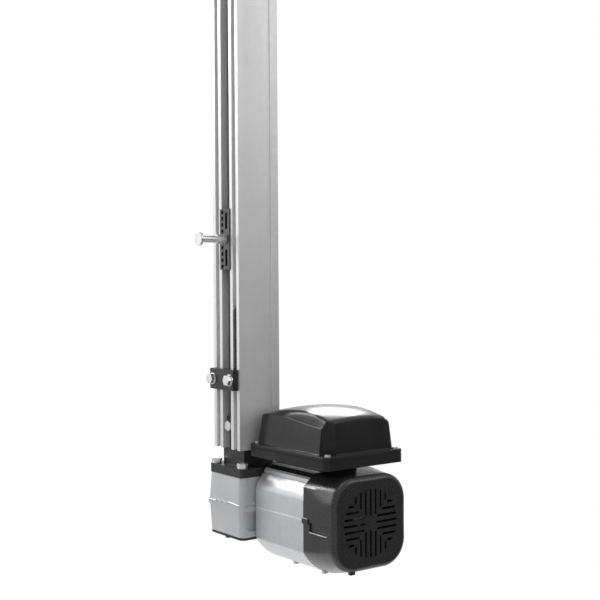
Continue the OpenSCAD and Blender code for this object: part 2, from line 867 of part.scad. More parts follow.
// thin slice of the fan cover at its face
module cover_face(shrink, x) {
    half = face_size / 2 - shrink;
    corner = face_corner - shrink;
    along_x(x - 1, 1) translate([face_y0 - half + corner, face_z - half + corner])
        rounded(2 * (half - corner), 2 * (half - corner), corner, hull_fn);
}

module vent_slots() {
    reach = 5.4 * vent_pitch;
    for (k = [-3:3], turn = [0:90:270]) {
        inner = max(1.1 * vent_pitch, (abs(k) + 0.27) * vent_pitch);
        outer = sqrt(reach * reach - k * k * vent_pitch * vent_pitch);
        if (outer > inner + vent_w)
            translate([face_x - cover_wall - 2, face_y0, z_foot + face_z]) rotate([turn, 0, 0])
                translate([0, k * vent_pitch, 0]) {
                    translate([0, -vent_w / 2, inner]) cube([cover_wall + 4, vent_w, outer - inner]);
                }
    }
}

module fan_cover() {
    edge = 4;
    color("#1e1e20") difference() {
        hull() {
            cover_root(0, cover_x);
            cover_face(0, face_x - edge);
            cover_face(edge, face_x);
        }
        hull() {
            cover_root(cover_wall, cover_x - 1.5);
            cover_face(cover_wall, face_x - cover_wall);
        }
        vent_slots();
    }
}

// ---------- control box ----------

module box_foot() {
    color("#161618") difference() {
        from_foot() slab([housing_x + 3, motor_y - 32, top_z], [cover_x - 3, motor_y + 32, box_z0], 5);
        translate([wire_x, motor_y, z_foot + top_z - 1]) cylinder(r = 12, h = 13);
        at_box_fixings() cylinder(r = 2, h = box_screw_len);
    }
}

module at_box_fixings() {
    for (x = [wire_x - 25, wire_x + 45], y = [motor_y - 20, motor_y + 20])
        translate([x, y, z_foot + box_z0 + floor_t - box_screw_len]) children();
}

module box_fixings() {
    color("silver") at_box_fixings() translate([0, 0, box_screw_len])
        socket_screw(box_screw_len - 0.5, 2, 3.6, 2.5, 2.5);
}

module at_board_screws() {
    for (x = [board_low.x + 4, board_high.x - 4], y = [board_low.y + 4, board_high.y - 4])
        translate([x, y, z_foot + box_z0 + floor_t]) children();
}

module at_lid_screws(z) {
    for (x = [box_x0 + screw_inset.x, box_x1 - screw_inset.x],
         y = [box_y0 + screw_inset.y, box_y1 - screw_inset.y])
        translate([x, y, z_foot + z]) children();
}

module box_base() {
    color("#1b1b1d") difference() {
        from_foot() slab([box_x0, box_y0, box_z0], [box_x1, box_y1, box_z0 + base_h], box_corner);
        difference() {
            from_foot() slab([box_x0 + box_wall, box_y0 + box_wall, box_z0 + floor_t],
                             [box_x1 - box_wall, box_y1 - box_wall, rim_z], box_corner - box_wall);
            at_lid_screws(box_z0) cylinder(r = 6, h = rim_h);
            at_board_screws() cylinder(r = 3.5, h = board_up);
        }
        at_lid_screws(box_z0 + 2) cylinder(r = 2, h = rim_h);
        at_board_screws() cylinder(r = 1.25, h = board_up + 1);
        at_box_fixings() cylinder(r = 2, h = box_screw_len + 1);
        translate([wire_x, motor_y, z_foot + box_z0 - 1]) cylinder(r = 12, h = floor_t + 2);
        at_inlet() translate([0, 0, -box_wall - 1]) cylinder(r = inlet_r, h = box_wall + 2);
    }
}

module box_seal() {
    color("#0e0e0e") difference() {
        from_foot() slab([box_x0 + 0.6, box_y0 + 0.6, box_z0 + base_h],
                         [box_x1 - 0.6, box_y1 - 0.6, box_z0 + base_h + seal_t], box_corner - 0.6);
        from_foot() slab([box_x0 + box_wall, box_y0 + box_wall, box_z0 + base_h - 1],
                         [box_x1 - box_wall, box_y1 - box_wall, rim_z], box_corner - box_wall);
    }
}

// domed body of the lid; shrink makes the hollow inside it
module dome(shrink) {
    x0 = box_x0 + dome_inset + shrink;
    x1 = box_x1 - dome_inset - shrink;
    y0 = box_y0 + dome_inset + shrink;
    y1 = box_y1 - dome_inset - shrink;
    shoulder = rim_z + dome_h * 0.7 - shrink;
    top = rim_z + dome_h - shrink;
    lean = 9;
    hull() {
        from_foot() slab([x0, y0, rim_z - 0.1 - shrink], [x1, y1, rim_z], box_corner, hull_fn);
        from_foot() slab([x0 + lean, y0 + lean * 0.6, shoulder - 0.1],
                         [x1 - lean * 0.6, y1 - lean * 0.6, shoulder], box_corner, hull_fn);
        from_foot() slab([x0 + 34, y0 + 26, top - 0.1], [x1 - 30, y1 - 26, top], 12, hull_fn);
    }
}

module box_lid() {
    recess_r = 12;
    lid_low = box_z0 + base_h + seal_t;
    color("#1b1b1d") difference() {
        union() {
            difference() {
                dome(0);
                at_lid_screws(rim_z) cylinder(r = recess_r, h = dome_h + 1);
            }
            from_foot() slab([box_x0, box_y0, lid_low], [box_x1, box_y1, rim_z], box_corner);
        }
        difference() {
            union() {
                dome(box_wall);
                from_foot() slab([box_x0 + box_wall, box_y0 + box_wall, lid_low - 1],
                                 [box_x1 - box_wall, box_y1 - box_wall, rim_z - 2.5], box_corner - box_wall);
            }
            at_lid_screws(lid_low - 2) cylinder(r = recess_r + box_wall - 0.5, h = dome_h + rim_h);
        }
        at_lid_screws(lid_low - 2) cylinder(r = 2, h = rim_h);
    }
}

module lid_screws() {
    color("silver") at_lid_screws(rim_z) difference() {
        union() {
            cylinder(r = 4, h = 2.4);
            translate([0, 0, -12]) cylinder(r = 2, h = 12.5);
        }
        translate([0, 0, 1.2]) {
            block([-3, -0.5, 0], [3, 0.5, 2]);
            block([-0.5, -3, 0], [0.5, 3, 2]);
        }
    }
}

module control_board() {
    color("darkgreen") difference() {
        from_foot() block([board_low.x, board_low.y, board_z], [board_high.x, board_high.y, board_top]);
        at_board_screws() cylinder(r = 1.25, h = board_up + 3);
    }
}

module board_screws() {
    color("silver") at_board_screws() translate([0, 0, board_up + board_t])
        socket_screw(6, 1.25, 2.4, 1.8, 2);
}

module transformer() {
    color("#7a6a50") from_foot() {
        block([box_x0 + 30, box_mid_y - 20, board_top], [box_x0 + 62, box_mid_y + 20, board_top + 32]);
    }
}

module relays() {
    color("#2b4a8a") from_foot() for (k = [0:2])
        block([box_x0 + 72 + k * 19, box_mid_y + 14, board_top],
              [box_x0 + 87 + k * 19, box_mid_y + 33, board_top + 15]);
}

module terminal_block() {
    color("#3f8a4a") from_foot()
        block([box_x0 + 70, box_y0 + 22, board_top], [box_x1 - 32, box_y0 + 34, board_top + 13]);
}

module capacitor() {
    cap_r = 14.5;
    color("#d8d8d4") translate([box_x0 + 72, box_mid_y - 4, z_foot + board_top + cap_r]) rotate([0, 90, 0])
        cylinder(r = cap_r, h = 58);
}

// turns +Z into +Y, on the outside of the rear wall of the box
module at_inlet() {
    translate([box_x0 + 90, box_y1, z_foot + box_z0 + inlet_z]) rotate([-90, 0, 0]) children();
}

module cable_grommet() {
    rim_t = 1.5;
    rim_r = inlet_r + 1;
    color("#19191b") at_inlet() difference() {
        union() {
            translate([0, 0, -box_wall]) cylinder(r = inlet_r, h = box_wall);
            cylinder(r = rim_r, h = rim_t);
        }
        translate([0, 0, -box_wall - 1]) cylinder(r = cable_r, h = box_wall + rim_t + 2);
    }
}

rail();
rail_head();
head_bush();
rail_screws();
foot();
slot_key();
key_bolt();
foot_bearing();
flange_bolts();
flange_washers();
limit_sensor();
stop_block();
stop_bolts();
stop_washers();
stop_nuts();
spindle();
coupling();
coupling_screws();
output_shaft();
worm_wheel();
wheel_key();
upper_bearing();
lower_bearing();
shaft_seal();
carriage();
drive_nut();
nut_screws();
drive_pin();
magnet();
gearbox_upper();
gearbox_lower();
gearbox_base();
base_screws();
case_screws();
worm_shaft();
worm_end_bearing();
worm_bearing();
rotor_core();
cooling_fan();
motor_housing();
motor_screws();
stator_core();
windings();
end_shield();
motor_bearing();
fan_cover();
box_foot();
box_base();
box_fixings();
box_seal();
box_lid();
lid_screws();
control_board();
board_screws();
transformer();
relays();
terminal_block();
capacitor();
cable_grommet();
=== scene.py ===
import json
import math

import bmesh
import bpy
from mathutils import Matrix, Vector


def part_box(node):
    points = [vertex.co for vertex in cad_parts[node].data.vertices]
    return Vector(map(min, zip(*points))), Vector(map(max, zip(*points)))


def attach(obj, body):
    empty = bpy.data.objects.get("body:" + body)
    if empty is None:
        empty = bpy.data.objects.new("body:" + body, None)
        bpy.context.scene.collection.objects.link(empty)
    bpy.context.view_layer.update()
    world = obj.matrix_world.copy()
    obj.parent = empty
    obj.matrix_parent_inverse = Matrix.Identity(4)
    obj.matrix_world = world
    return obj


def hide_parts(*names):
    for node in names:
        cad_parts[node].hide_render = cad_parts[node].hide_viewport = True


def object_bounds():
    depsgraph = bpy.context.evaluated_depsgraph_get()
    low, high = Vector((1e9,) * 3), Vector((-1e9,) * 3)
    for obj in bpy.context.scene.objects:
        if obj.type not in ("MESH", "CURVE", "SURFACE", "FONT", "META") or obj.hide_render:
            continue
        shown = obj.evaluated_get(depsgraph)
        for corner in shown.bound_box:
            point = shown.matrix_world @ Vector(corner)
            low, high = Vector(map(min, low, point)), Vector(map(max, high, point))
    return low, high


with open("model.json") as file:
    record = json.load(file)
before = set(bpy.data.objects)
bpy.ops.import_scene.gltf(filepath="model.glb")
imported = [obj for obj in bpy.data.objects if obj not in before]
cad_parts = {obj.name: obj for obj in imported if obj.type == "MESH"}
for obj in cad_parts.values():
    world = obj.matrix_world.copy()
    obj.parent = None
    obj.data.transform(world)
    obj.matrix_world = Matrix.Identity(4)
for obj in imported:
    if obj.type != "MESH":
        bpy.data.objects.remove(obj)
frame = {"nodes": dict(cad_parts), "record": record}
cad_low, cad_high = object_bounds()

MM = 0.001
# top of the gearbox: heights given in millimetres are counted from it
FOOT_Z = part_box("gearbox_upper")[1].z
NODES = frame["nodes"]
BODY_OF = {node: body for body, nodes in frame["record"]["behaviour"]["bodies"].items() for node in nodes}
SLOT_OF = {s["node"]: s["material_slot"] for s in frame["record"]["subparts"]}


def at(x, y, z):
    """A point in metres from millimetres, with z counted from the gearbox top."""
    return Vector((x * MM, y * MM, z * MM + FOOT_Z))


# ---------------------------------------------------------------- materials

class Nodes:
    """Small helper to wire a material's node tree."""

    def __init__(self, name):
        self.mat = bpy.data.materials.new(name)
        self.mat.use_nodes = True
        self.tree = self.mat.node_tree
        self.shader = self.tree.nodes["Principled BSDF"]
        coords = self.add("ShaderNodeTexCoord")
        self.object = coords.outputs["Object"]

    def add(self, kind, **values):
        node = self.tree.nodes.new(kind)
        for key, value in values.items():
            if key in node.inputs:
                node.inputs[key].default_value = value
            else:
                setattr(node, key, value)
        return node

    def link(self, out, into):
        self.tree.links.new(out, into)

    def noise(self, scale, detail=4.0, rough=0.6, stretch=(1, 1, 1)):
        mapping = self.add("ShaderNodeMapping")
        mapping.inputs["Scale"].default_value = stretch
        self.link(self.object, mapping.inputs["Vector"])
        tex = self.add("ShaderNodeTexNoise")
        tex.inputs["Scale"].default_value = scale
        tex.inputs["Detail"].default_value = detail
        tex.inputs["Roughness"].default_value = rough
        self.link(mapping.outputs["Vector"], tex.inputs["Vector"])
        return tex.outputs["Fac"]

    def remap(self, value, low, high, to_low, to_high):
        node = self.add("ShaderNodeMapRange")
        node.inputs["From Min"].default_value = low
        node.inputs["From Max"].default_value = high
        node.inputs["To Min"].default_value = to_low
        node.inputs["To Max"].default_value = to_high
        self.link(value, node.inputs["Value"])
        return node.outputs["Result"]

    def times(self, a, b):
        node = self.add("ShaderNodeMath", operation="MULTIPLY")
        self.link(a, node.inputs[0])
        self.link(b, node.inputs[1])
        return node.outputs[0]

    def mix(self, factor, a, b):
        node = self.add("ShaderNodeMix", data_type="RGBA")
        self.link(factor, node.inputs["Factor"])
        for socket, value in ((node.inputs[6], a), (node.inputs[7], b)):
            if isinstance(value, tuple):
                socket.default_value = value
            else:
                self.link(value, socket)
        return node.outputs[2]


def finish_material(name, color, metal, rough, spread=0.08, grain=900.0, bump=0.12, depth=0.0002,
                    tone=0.06, stretch=(1, 1, 1), wear=0.25, wear_color=None, dust=0.05, coat=0.0):
    """A worn, slightly dusty surface.

    rough varies by spread either way, grain is the scale of the fine relief, bump its strength and
    depth its height in metres. tone is how far the colour varies, wear how much the edges are rubbed
    towards wear_color, and dust how much of it lies on faces that look up.
    """
    n = Nodes(name)
    darker = (*[c * (1 - tone) for c in color], 1.0)
    lighter = (*[min(1.0, c * (1 + tone) + tone * 0.02) for c in color], 1.0)
    patches = n.noise(14.0, 3.0, 0.5)
    colour = n.mix(n.remap(patches, 0.3, 0.7, 0.0, 1.0), darker, lighter)
    # rubbed edges
    geometry = n.add("ShaderNodeNewGeometry")
    edge = n.remap(geometry.outputs["Pointiness"], 0.52, 0.60, 0.0, 1.0)
    rubbed = n.times(edge, n.remap(n.noise(120.0, 4.0), 0.45, 0.65, 0.0, wear))
    rub_to = wear_color or tuple(min(1.0, c * 1.35 + 0.05) for c in color)
    colour = n.mix(rubbed, colour, (*rub_to, 1.0))
    # thin dust on faces that look up
    facing = n.add("ShaderNodeSeparateXYZ")
    n.link(geometry.outputs["Normal"], facing.inputs["Vector"])
    up = n.remap(facing.outputs["Z"], 0.6, 1.0, 0.0, dust)
    dusty = n.times(up, n.remap(n.noise(35.0, 6.0, 0.7), 0.35, 0.75, 0.2, 1.0))
    colour = n.mix(dusty, colour, (0.55, 0.54, 0.51, 1.0))
    n.link(colour, n.shader.inputs["Base Color"])
    # roughness that varies finely, in lines where the noise is stretched
    lines = n.noise(grain * 0.35, 4.0, 0.7, stretch)
    roughness = n.remap(lines, 0.25, 0.75, max(0.03, rough - spread), min(1.0, rough + spread))
    n.link(roughness, n.shader.inputs["Roughness"])
    n.shader.inputs["Metallic"].default_value = metal
    if coat:
        n.shader.inputs["Coat Weight"].default_value = coat
        n.shader.inputs["Coat Roughness"].default_value = 0.12
    relief = n.add("ShaderNodeBump")
    relief.inputs["Strength"].default_value = bump
    relief.inputs["Distance"].default_value = depth
    n.link(n.noise(grain, 3.0, 0.6, stretch), relief.inputs["Height"])
    n.link(relief.outputs["Normal"], n.shader.inputs["Normal"])
    return n.mat


# stretches the noise into lines along the rail, as extrusion leaves them
ALONG_Z = (1.0, 1.0, 0.012)
MATERIALS = {}


def finish(name, color, **surface):
    MATERIALS[name] = finish_material(name, color, **surface)


finish("anodised_rail", (0.80, 0.80, 0.80), metal=0.50, rough=0.40, spread=0.05, grain=700,
       bump=0.05, depth=0.0001, tone=0.03, stretch=ALONG_Z, wear=0.2)
finish("cast_grey", (0.60, 0.605, 0.61), metal=0.25, rough=0.50, spread=0.08, grain=520, bump=0.25,
       depth=0.0003, tone=0.05)
finish("motor_alloy", (0.66, 0.665, 0.67), metal=0.45, rough=0.36, spread=0.08, grain=420,
       bump=0.18, depth=0.0003, tone=0.05)
# light grey that paints highlights along thin edges, ridges and lines
finish("painted_highlight_grey", (0.82, 0.82, 0.82), metal=0.5, rough=0.35, spread=0.05, grain=900, bump=0.05,
       depth=0.0001, tone=0.04)
finish("black_steel", (0.026, 0.026, 0.028), metal=0.1, rough=0.36, spread=0.08, grain=900,
       bump=0.15, depth=0.0002, tone=0.2, wear=0.18, dust=0.03, wear_color=(0.12, 0.12, 0.12))
finish("black_moulding", (0.024, 0.024, 0.025), metal=0.0, rough=0.27, spread=0.04, grain=1500,
       bump=0.05, depth=0.0001, tone=0.06, wear=0.05, dust=0.01, wear_color=(0.045, 0.045, 0.045))
finish("black_gloss", (0.030, 0.030, 0.031), metal=0.0, rough=0.23, spread=0.05, grain=1100,
       bump=0.08, depth=0.0001, tone=0.2, wear=0.10, dust=0.03, coat=0.1,
       wear_color=(0.10, 0.10, 0.10))
finish("zinc_steel", (0.84, 0.84, 0.83), metal=1.0, rough=0.30, spread=0.08, grain=1400, bump=0.15,
       depth=0.0001, tone=0.06)
finish("lamp_grey", (0.30, 0.30, 0.31), metal=0.0, rough=0.30, spread=0.05, grain=900, bump=0.05,
       depth=0.0001, tone=0.05)
finish("ground_steel", (0.76, 0.76, 0.76), metal=0.6, rough=0.27, spread=0.07, grain=1400,
       bump=0.10, depth=0.0001, tone=0.05)
finish("dark_steel", (0.10, 0.10, 0.105), metal=0.9, rough=0.42, spread=0.08, grain=1200, bump=0.2,
       depth=0.0001, tone=0.1)
finish("bearing_steel", (0.52, 0.53, 0.55), metal=1.0, rough=0.22, spread=0.05, grain=1400,
       bump=0.08, depth=0.0001, tone=0.04)
finish("bronze", (0.60, 0.40, 0.16), metal=1.0, rough=0.34, spread=0.08, grain=900, bump=0.15,
       depth=0.0001, tone=0.1)
finish("nut_polymer", (0.66, 0.60, 0.44), metal=0.0, rough=0.5, spread=0.08, grain=900, bump=0.1,
       depth=0.0001, tone=0.05)
finish("seal_rubber", (0.012, 0.012, 0.012), metal=0.0, rough=0.75, spread=0.08, grain=900,
       bump=0.2, depth=0.0001, tone=0.2)
finish("lamination", (0.20, 0.20, 0.21), metal=0.8, rough=0.5, spread=0.08, grain=900, bump=0.3,
       depth=0.0002, tone=0.1)
finish("copper_winding", (0.50, 0.18, 0.06), metal=0.8, rough=0.36, spread=0.08, grain=700,
       bump=0.3, depth=0.0004, tone=0.15)
finish("board_green", (0.02, 0.14, 0.05), metal=0.0, rough=0.35, spread=0.05, grain=900, bump=0.1,
       depth=0.0001, tone=0.1)
finish("relay_blue", (0.03, 0.09, 0.30), metal=0.0, rough=0.4, spread=0.05, grain=900, bump=0.1,
       depth=0.0001, tone=0.1)
finish("terminal_green", (0.06, 0.25, 0.09), metal=0.0, rough=0.45, spread=0.05, grain=900,
       bump=0.1, depth=0.0001, tone=0.1)
finish("capacitor_white", (0.70, 0.70, 0.66), metal=0.0, rough=0.4, spread=0.05, grain=900,
       bump=0.1, depth=0.0001, tone=0.05)
finish("coil_tan", (0.34, 0.24, 0.10), metal=0.0, rough=0.5, spread=0.05, grain=900, bump=0.2,
       depth=0.0002, tone=0.1)
finish("magnet_dark", (0.06, 0.06, 0.065), metal=0.6, rough=0.5, spread=0.05, grain=900, bump=0.2,
       depth=0.0001, tone=0.1)

SPECULAR_LEVEL = {"black_gloss": 0.12, "black_moulding": 0.75}
for name, level in SPECULAR_LEVEL.items():
    shader = MATERIALS[name].node_tree.nodes["Principled BSDF"]
    shader.inputs["Specular IOR Level"].default_value = level


# ---------------------------------------------------------------- mesh helpers

def weight_normals(mesh, sharp):
    """Keeps large flat faces flat: corner normals are averaged by face area within the sharp angle."""
    limit = math.cos(math.radians(sharp))
    around = [[] for _ in mesh.vertices]
    for polygon in mesh.polygons:
        for index in polygon.vertices:
            around[index].append(polygon)
    facing = [polygon.normal.copy() for polygon in mesh.polygons]
    normals = []
    for polygon in mesh.polygons:
        own = facing[polygon.index]
        for index in polygon.vertices:
            total = Vector((0, 0, 0))
            for other in around[index]:
                if facing[other.index].dot(own) > limit:
                    total += facing[other.index] * other.area
            normals.append(total.normalized() if total.length > 0 else own)
    mesh.normals_split_custom_set(normals)


# finishes of small details, not slots of the record
# edges that turn by more than this many degrees stay sharp
SHARP = 32.0


def new_object(name, bm, body, slot, sharp=SHARP):
    """Makes the mesh an object that moves with the body and has the slot's material."""
    bmesh.ops.recalc_face_normals(bm, faces=bm.faces)
    mesh = bpy.data.meshes.new(name)
    bm.to_mesh(mesh)
    bm.free()
    for polygon in mesh.polygons:
        polygon.use_smooth = True
    mesh.set_sharp_from_angle(angle=math.radians(sharp))
    weight_normals(mesh, sharp)
    mesh.materials.append(MATERIALS[slot])
    obj = bpy.data.objects.new(name, mesh)
    bpy.context.scene.collection.objects.link(obj)
    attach(obj, body)
    return obj


def clean(bm):
    """Joins the CAD mesh's doubled points and dissolves its flat seams."""
    bmesh.ops.remove_doubles(bm, verts=bm.verts, dist=2e-6)
    bmesh.ops.dissolve_limit(bm, angle_limit=math.radians(0.6), verts=bm.verts, edges=bm.edges)


def bevel_edges(bm, width, angle=38.0, segments=2):
    edges = [e for e in bm.edges if len(e.link_faces) == 2 and e.calc_face_angle(0) > math.radians(angle)]
    if edges:
        bmesh.ops.bevel(bm, geom=edges, offset=width * MM, offset_type="OFFSET",
                        segments=segments, profile=0.5, affect="EDGES", clamp_overlap=True)


def soften(node, width, angle=38.0, segments=2):
    """The CAD node's shape with real rounded edges."""
    bm = bmesh.new()
    bm.from_mesh(NODES[node].data)
    clean(bm)
    bevel_edges(bm, width, angle, segments)
    obj = new_object("soft_" + node, bm, BODY_OF[node], SLOT_OF[node])
    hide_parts(node)


def loft(bm, rings, close_start=True, close_end=True):
    """Skin over rings of equal length; returns the vertex rings."""
    made = [[bm.verts.new(p) for p in ring] for ring in rings]
    for a, b in zip(made, made[1:]):
        count = len(a)
        for k in range(count):
            bm.faces.new((a[k], a[(k + 1) % count], b[(k + 1) % count], b[k]))
    if close_start:
        bm.faces.new(reversed(made[0]))
    if close_end:
        bm.faces.new(made[-1])
    return made


def rounded_rect(x0, x1, y0, y1, r, per_corner=8):
    points = []
    corners = ((x1 - r, y1 - r, 0), (x0 + r, y1 - r, 90), (x0 + r, y0 + r, 180), (x1 - r, y0 + r, 270))
    for cx, cy, start in corners:
        for k in range(per_corner + 1):
            a = math.radians(start + 90 * k / per_corner)
            points.append((cx + r * math.cos(a), cy + r * math.sin(a)))
    return points


def box_mesh(bm, low, high, bevel=0.0):
    """A box in millimetres, with rounded edges."""
    part = bmesh.new()
    bmesh.ops.create_cube(part, size=1.0)
    lo, hi = at(*low), at(*high)
    for v in part.verts:
        v.co = Vector([lo[i] + (v.co[i] + 0.5) * (hi[i] - lo[i]) for i in range(3)])
    if bevel:
        bmesh.ops.bevel(part, geom=part.edges[:], offset=bevel * MM, offset_type="OFFSET",
                        segments=2, profile=0.5, affect="EDGES", clamp_overlap=True)
    mesh = bpy.data.meshes.new("part")
    part.to_mesh(mesh)
    part.free()
    bm.from_mesh(mesh)
    bpy.data.meshes.remove(mesh)


def boxes(name, slot, *pieces):
    """An object of rounded boxes, each given by its two corners and its bevel."""
    bm = bmesh.new()
    for low, high, bevel in pieces:
        box_mesh(bm, low, high, bevel)
    new_object(name, bm, "frame", slot)


def cut(obj, cutter_bm):
    """Exact boolean difference, applied to the mesh."""
    bmesh.ops.recalc_face_normals(cutter_bm, faces=cutter_bm.faces)
    mesh = bpy.data.meshes.new("cutter")
    cutter_bm.to_mesh(mesh)
    cutter_bm.free()
    tool = bpy.data.objects.new("cutter", mesh)
    bpy.context.scene.collection.objects.link(tool)
    modifier = obj.modifiers.new("cut", "BOOLEAN")
    modifier.operation = "DIFFERENCE"
    modifier.solver = "EXACT"
    modifier.object = tool
    graph = bpy.context.evaluated_depsgraph_get()
    result = bpy.data.meshes.new_from_object(obj.evaluated_get(graph))
    obj.modifiers.remove(modifier)
    old = obj.data
    obj.data = result
    bpy.data.meshes.remove(old)
    bpy.data.objects.remove(tool)
    bpy.data.meshes.remove(mesh)
    obj.data.set_sharp_from_angle(angle=math.radians(SHARP))
    weight_normals(obj.data, SHARP)


def circle(cx, cy, r, count):
    """Points on a circle, counted from the +X side."""
    turns = [math.tau * k / count for k in range(count)]
    return [(cx + r * math.cos(a), cy + r * math.sin(a)) for a in turns]


def smooth_step(t):
    t = min(1.0, max(0.0, t))
    return t * t * (3 - 2 * t)


# ---------------------------------------------------------------- CAD pieces with rounded edges

# width of the rounded edges in millimetres
SOFT = {
    "rail": 0.35, "rail_head": 0.8, "foot": 0.9, "slot_key": 0.4, "key_bolt": 0.5, "flange_bolts": 0.5,
    "flange_washers": 0.25, "stop_block": 1.0, "stop_bolts": 0.5, "stop_washers": 0.25, "stop_nuts": 0.3,
    "carriage": 0.35, "drive_pin": 0.45, "drive_nut": 0.4, "gearbox_base": 0.6,
    "gearbox_upper": 1.2, "gearbox_lower": 1.2, "motor_housing": 0.8, "box_foot": 0.8, "box_base": 1.0,
    "cable_grommet": 0.4, "transformer": 0.6, "relays": 0.5, "terminal_block": 0.5, "capacitor": 0.8,
    "lid_screws": 0.2, "coupling": 0.5, "end_shield": 0.4, "cooling_fan": 0.3,
}
for node_name, width in SOFT.items():
    soften(node_name, width)


# ---------------------------------------------------------------- threaded spindle

def spindle():
    """The spindle with its six-start right-handed thread between two plain journals."""
    lo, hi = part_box("spindle")
    centre = (lo + hi) / 2
    outer = (hi.x - lo.x) / 2
    journal, chamfer = 8.0 * MM, 0.6 * MM
    thread_low = lo.z + 48 * MM
    thread_high = hi.z - 16 * MM
    starts, lead, depth = 6, 50 * MM, 1.7 * MM
    # half the crest and one flank, as shares of the pitch
    crest, flank_width = 0.14, 0.14
    run_out, run_out_drop = 2 * MM, 1.2 * MM
    around, step = 60, 1.6 * MM
    rings = []

    def plain(z, r):
        return [Vector((x, y, z)) for x, y in circle(centre.x, centre.y, r, around)]

    rings.append(plain(lo.z, journal - chamfer))
    rings.append(plain(lo.z + chamfer, journal))
    rings.append(plain(thread_low, journal))
    levels = int((thread_high - thread_low) / step)
    for i in range(levels + 1):
        z = thread_low + (thread_high - thread_low) * i / levels
        fade = smooth_step(min(z - thread_low, thread_high - z) / run_out)
        ring = []
        for k in range(around):
            a = math.tau * k / around
            phase = (a * starts / math.tau - z * starts / lead) % 1.0
            flank = smooth_step((abs(phase - 0.5) - crest) / flank_width)
            r = outer - depth * flank - (1 - fade) * run_out_drop
            ring.append(Vector((centre.x + r * math.cos(a), centre.y + r * math.sin(a), z)))
        rings.append(ring)
    rings.append(plain(thread_high, journal))
    rings.append(plain(hi.z - chamfer, journal))
    rings.append(plain(hi.z, journal - chamfer))
    bm = bmesh.new()
    loft(bm, rings)
    obj = new_object("threaded_spindle", bm, "spindle_train", "dark_steel", 50)
    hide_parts("spindle")


spindle()


# ---------------------------------------------------------------- fan cover

# outline where the cover meets the housing: a round belly, flat sides, chamfers and a flat top
BELLY_Y, BELLY_Z, BELLY_R = 15.0, -44.0, 71.0
FLAT_HALF, TOP_Z = 61.5, 18.5
CHAMFER_REACH, CHAMFER_ACROSS, CHAMFER_UP = 98.5, 0.86, 0.97
# the cover's two ends, and the rounded square of its face
COVER_X, FACE_X = 148.0, 210.0
FACE_HALF, FACE_CORNER = 59.0, 34.0
FACE_Y, FACE_Z = 12.5, -40.0
# finger recess in the cover's side
RECESS_X0, RECESS_X1, RECESS_Z0, RECESS_Z1 = 161, 200, -51.5, -39.5
# stands for a distance that no outline limits
FAR = 1e9


def root_reach(a):
    """Distance from the belly centre to the housing's outline at angle a."""
    c, s = math.cos(a), math.sin(a)
    reach = BELLY_R if s < 0 else FAR
    if abs(c) > 1e-6:
        reach = min(reach, FLAT_HALF / abs(c))
    if s > 1e-6:
        reach = min(reach, (TOP_Z - BELLY_Z) / s)
    if s > 1e-6 and abs(c) > 1e-6:
        reach = min(reach, CHAMFER_REACH / (abs(c) * CHAMFER_ACROSS + s * CHAMFER_UP))
    return reach


def face_reach(a, half, corner):
    """Distance from the middle of a rounded square to its outline at angle a."""
    c, s = abs(math.cos(a)), abs(math.sin(a))
    flat = min(half / c if c > 1e-6 else FAR, half / s if s > 1e-6 else FAR)
    inner = half - corner
    if c * flat > inner and s * flat > inner:
        b = c * inner + s * inner
        return b + math.sqrt(max(0.0, b * b - (2 * inner * inner - corner * corner)))
    return flat


def cover_ring(x, t, shrink, count=144):
    """Outline of the cover at x; t runs from the housing end (0) to the face (1)."""
    cy, cz = BELLY_Y + (FACE_Y - BELLY_Y) * t, BELLY_Z + (FACE_Z - BELLY_Z) * t
    ring = []
    for k in range(count):
        a = math.tau * k / count
        reach = root_reach(a) * (1 - t) + face_reach(a, FACE_HALF, FACE_CORNER) * t - shrink
        ring.append(at(x, cy + reach * math.cos(a), cz + reach * math.sin(a)))
    return ring


